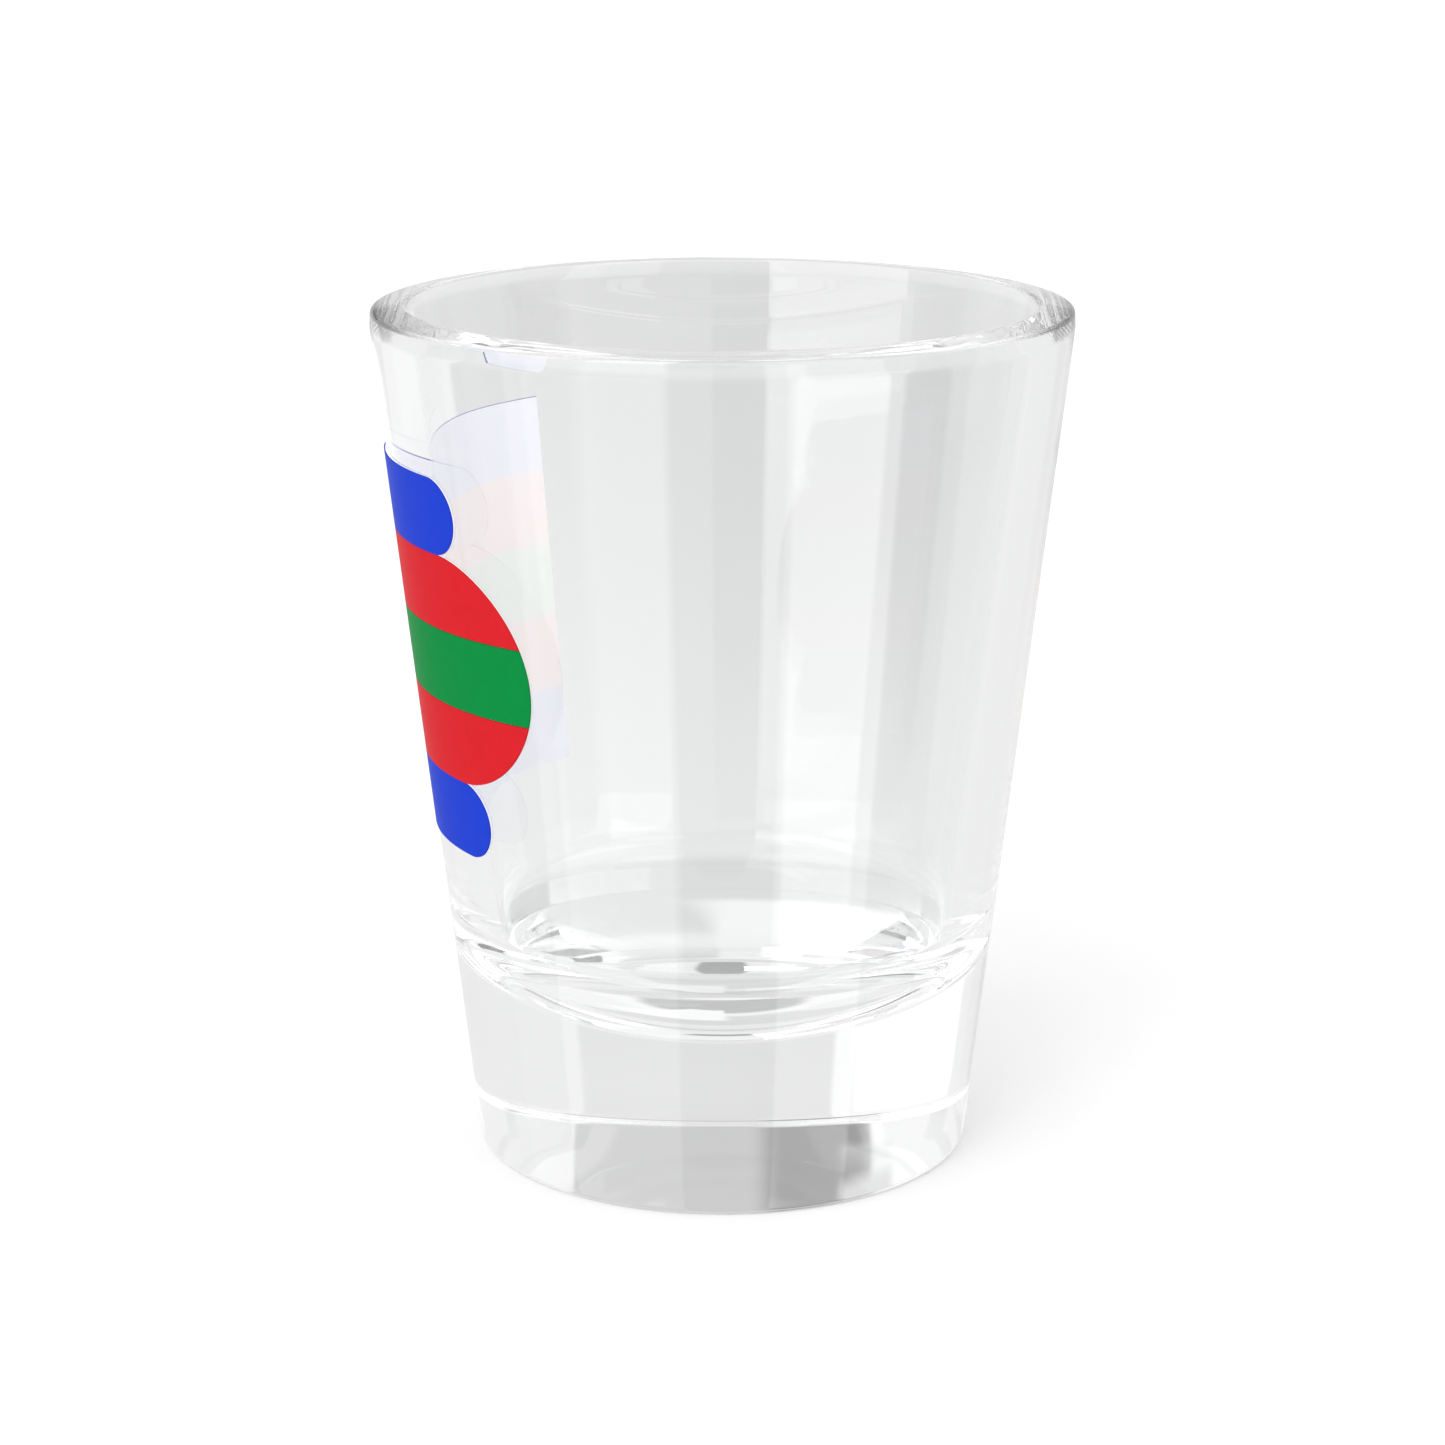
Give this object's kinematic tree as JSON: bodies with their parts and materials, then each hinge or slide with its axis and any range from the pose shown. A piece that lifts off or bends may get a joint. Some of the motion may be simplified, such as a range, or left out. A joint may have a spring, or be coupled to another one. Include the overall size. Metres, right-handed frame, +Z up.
{
  "type": "shot glass",
  "caption": "Clear glass shot glass with a straight conical wall, a heavy solid base and a print of level coloured stripes with rounded ends on one side.",
  "frame": {"origin": "centre of the flat face that the glass stands on", "axes": "+Z up along the glass's axis, -Y towards the middle of the print, +X to the right when the print is seen from the front"},
  "size_m": [0.0482, 0.0482, 0.06],
  "materials": {
    "clear_glass": "fire-polished clear soda-lime glass",
    "white_ink": "opaque white ceramic ink, semi-gloss",
    "blue_ink": "blue ceramic ink, semi-gloss",
    "red_ink": "red ceramic ink, semi-gloss",
    "green_ink": "green ceramic ink, semi-gloss"
  },
  "bodies": {
    "root": {"glass_body": "clear_glass", "print_white_base": "white_ink", "stripe_blue_bottom": "blue_ink", "stripe_red_lower": "red_ink", "stripe_green": "green_ink", "stripe_red_upper": "red_ink", "stripe_blue_top": "blue_ink"}
  },
  "joints": []
}
